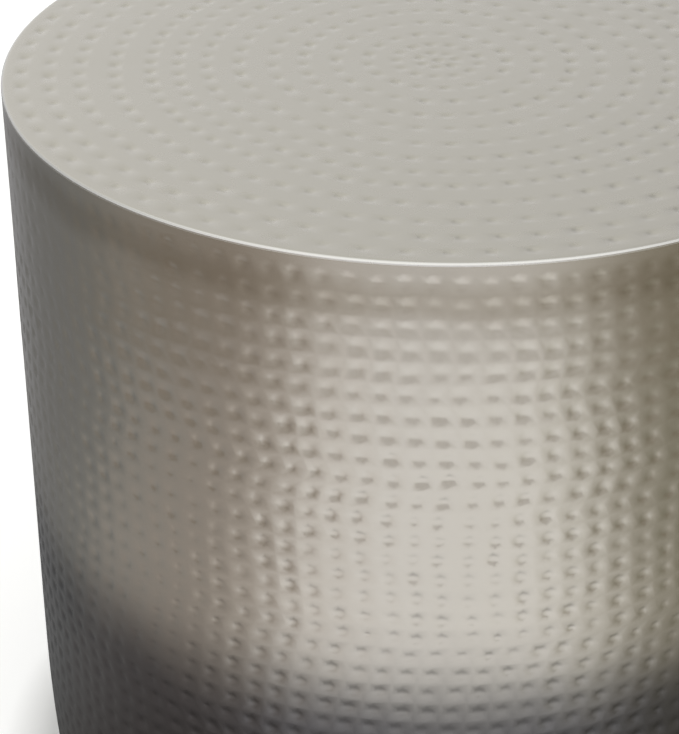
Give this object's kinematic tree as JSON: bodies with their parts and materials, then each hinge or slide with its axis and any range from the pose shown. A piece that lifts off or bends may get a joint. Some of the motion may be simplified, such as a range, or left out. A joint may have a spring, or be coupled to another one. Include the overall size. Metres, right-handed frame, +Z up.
{
  "type": "drum side table",
  "caption": "Round drum side table: hammered metal wall fading from nickel to near-black, hemmed hammered top, hollow underneath, on levelling glides.",
  "frame": {"origin": "on the floor under the centre of the drum", "axes": "+Z up along the drum's axis, -Y towards the viewer of the picture"},
  "size_m": [0.457, 0.457, 0.457],
  "materials": {
    "hammered_nickel": "hammered, satin nickel",
    "ombre_nickel": "hammered, satin nickel above fading to near-black below",
    "fibreboard": "raw fibreboard",
    "dark_iron": "matt black paint",
    "zinc_steel": "bright zinc plate",
    "nylon": "moulded"
  },
  "bodies": {
    "drum": {"top_plate": "hammered_nickel", "top_board": "fibreboard", "upper_hoop": "dark_iron", "long_brace": "dark_iron", "front_brace": "dark_iron", "rear_brace": "dark_iron", "board_screws": "zinc_steel", "drum_wall": "ombre_nickel", "base_ring": "dark_iron", "weld_nuts": "dark_iron"},
    "glide_pad_front_left": {"glide_pad_front_left": "nylon"},
    "glide_stud_front_left": {"glide_stud_front_left": "zinc_steel"},
    "glide_pad_front_right": {"glide_pad_front_right": "nylon"},
    "glide_stud_front_right": {"glide_stud_front_right": "zinc_steel"},
    "glide_pad_rear_left": {"glide_pad_rear_left": "nylon"},
    "glide_stud_rear_left": {"glide_stud_rear_left": "zinc_steel"},
    "glide_pad_rear_right": {"glide_pad_rear_right": "nylon"},
    "glide_stud_rear_right": {"glide_stud_rear_right": "zinc_steel"}
  },
  "joints": [
    {"name": "glide_travel_front_left", "type": "slide", "parent": "drum", "child": "glide_pad_front_left", "axis": [0, 0, -1], "range_m": [0, 0.01]},
    {"name": "glide_turn_front_left", "type": "hinge", "parent": "glide_pad_front_left", "child": "glide_stud_front_left", "pos_m": [-0.14555, -0.14555, 0.018], "axis": [0, 0, -1], "range_deg": [0, 2880]},
    {"name": "glide_travel_front_right", "type": "slide", "parent": "drum", "child": "glide_pad_front_right", "axis": [0, 0, -1], "range_m": [0, 0.01]},
    {"name": "glide_turn_front_right", "type": "hinge", "parent": "glide_pad_front_right", "child": "glide_stud_front_right", "pos_m": [0.14555, -0.14555, 0.018], "axis": [0, 0, -1], "range_deg": [0, 2880]},
    {"name": "glide_travel_rear_left", "type": "slide", "parent": "drum", "child": "glide_pad_rear_left", "axis": [0, 0, -1], "range_m": [0, 0.01]},
    {"name": "glide_turn_rear_left", "type": "hinge", "parent": "glide_pad_rear_left", "child": "glide_stud_rear_left", "pos_m": [-0.14555, 0.14555, 0.018], "axis": [0, 0, -1], "range_deg": [0, 2880]},
    {"name": "glide_travel_rear_right", "type": "slide", "parent": "drum", "child": "glide_pad_rear_right", "axis": [0, 0, -1], "range_m": [0, 0.01]},
    {"name": "glide_turn_rear_right", "type": "hinge", "parent": "glide_pad_rear_right", "child": "glide_stud_rear_right", "pos_m": [0.14555, 0.14555, 0.018], "axis": [0, 0, -1], "range_deg": [0, 2880]}
  ],
  "couplings": [
    {"joint": "glide_turn_front_left", "follows": "glide_travel_front_left", "rad_per_m": 5026.5},
    {"joint": "glide_turn_front_right", "follows": "glide_travel_front_right", "rad_per_m": 5026.5},
    {"joint": "glide_turn_rear_left", "follows": "glide_travel_rear_left", "rad_per_m": 5026.5},
    {"joint": "glide_turn_rear_right", "follows": "glide_travel_rear_right", "rad_per_m": 5026.5}
  ]
}
